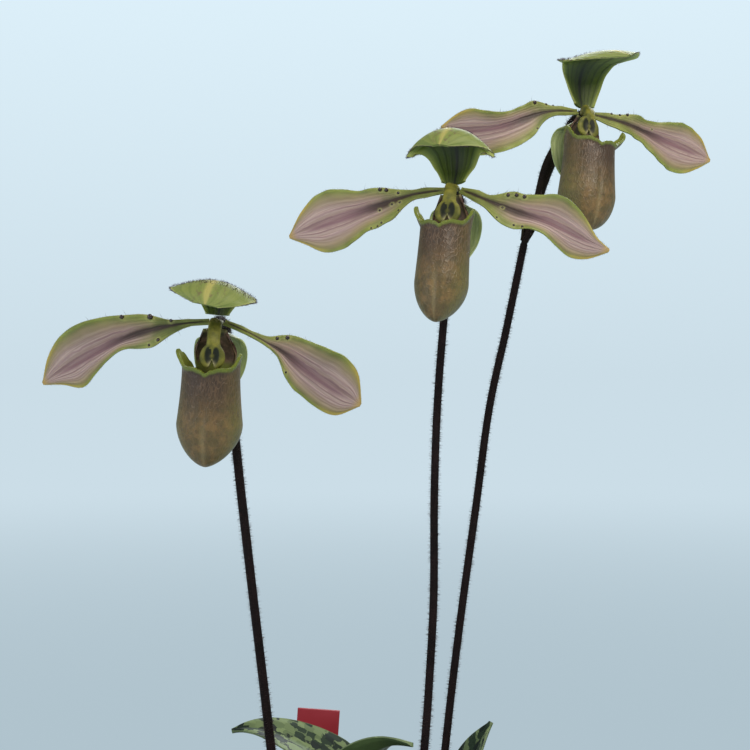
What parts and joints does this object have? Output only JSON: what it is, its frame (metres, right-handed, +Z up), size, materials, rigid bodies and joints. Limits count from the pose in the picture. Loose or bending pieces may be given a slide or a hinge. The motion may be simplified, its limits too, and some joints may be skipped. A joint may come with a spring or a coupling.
{
  "type": "potted slipper orchid",
  "caption": "Slipper orchid in a round pot of bark: mottled strap leaves, slim hairy stems and pouched flowers with a hooded sepal and drooping petals, plus a blank label.",
  "frame": {"origin": "centre of the pot's flat underside, on the surface that the pot stands on", "axes": "+Z up; the flowers face -Y, and +X is to a viewer's right who looks at them"},
  "size_m": [0.1993, 0.1096, 0.3301],
  "materials": {
    "pot_plastic": "moulded nursery pot, dark grey",
    "bark": "coarse orchid bark",
    "label_plastic": "blank red plant label",
    "leaf_tissue": "mottled pale and dark blue-green leaf",
    "stem_tissue": "dark purple-brown, finely hairy",
    "ovary_tissue": "dark brown-purple, finely hairy",
    "bract_tissue": "dark olive, hairy",
    "dorsal_tissue": "yellow-green sepal with dark green veins",
    "synsepal_tissue": "pale green sepal",
    "petal_tissue": "mauve-pink petal, green margins and dark stripe",
    "lip_tissue": "brown-olive pouch with a fine net of veins",
    "column_tissue": "yellow-green shield with dark green patches"
  },
  "bodies": {
    "root": {"pot": "pot_plastic", "potting_medium": "bark", "plant_label": "label_plastic", "leaf_left_1": "leaf_tissue", "leaf_left_2": "leaf_tissue", "leaf_left_3": "leaf_tissue", "leaf_middle_1": "leaf_tissue", "leaf_middle_2": "leaf_tissue", "leaf_middle_3": "leaf_tissue", "leaf_right_1": "leaf_tissue", "leaf_right_2": "leaf_tissue", "leaf_right_3": "leaf_tissue", "leaf_right_4": "leaf_tissue", "flower_stem_left": "stem_tissue", "ovary_left": "ovary_tissue", "bract_left": "bract_tissue", "dorsal_sepal_left": "dorsal_tissue", "synsepal_left": "synsepal_tissue", "petal_left_left": "petal_tissue", "petal_right_left": "petal_tissue", "lip_left": "lip_tissue", "column_left": "column_tissue", "flower_stem_middle": "stem_tissue", "ovary_middle": "ovary_tissue", "bract_middle": "bract_tissue", "dorsal_sepal_middle": "dorsal_tissue", "synsepal_middle": "synsepal_tissue", "petal_left_middle": "petal_tissue", "petal_right_middle": "petal_tissue", "lip_middle": "lip_tissue", "column_middle": "column_tissue", "flower_stem_right": "stem_tissue", "ovary_right": "ovary_tissue", "bract_right": "bract_tissue", "dorsal_sepal_right": "dorsal_tissue", "synsepal_right": "synsepal_tissue", "petal_left_right": "petal_tissue", "petal_right_right": "petal_tissue", "lip_right": "lip_tissue", "column_right": "column_tissue"}
  },
  "joints": []
}
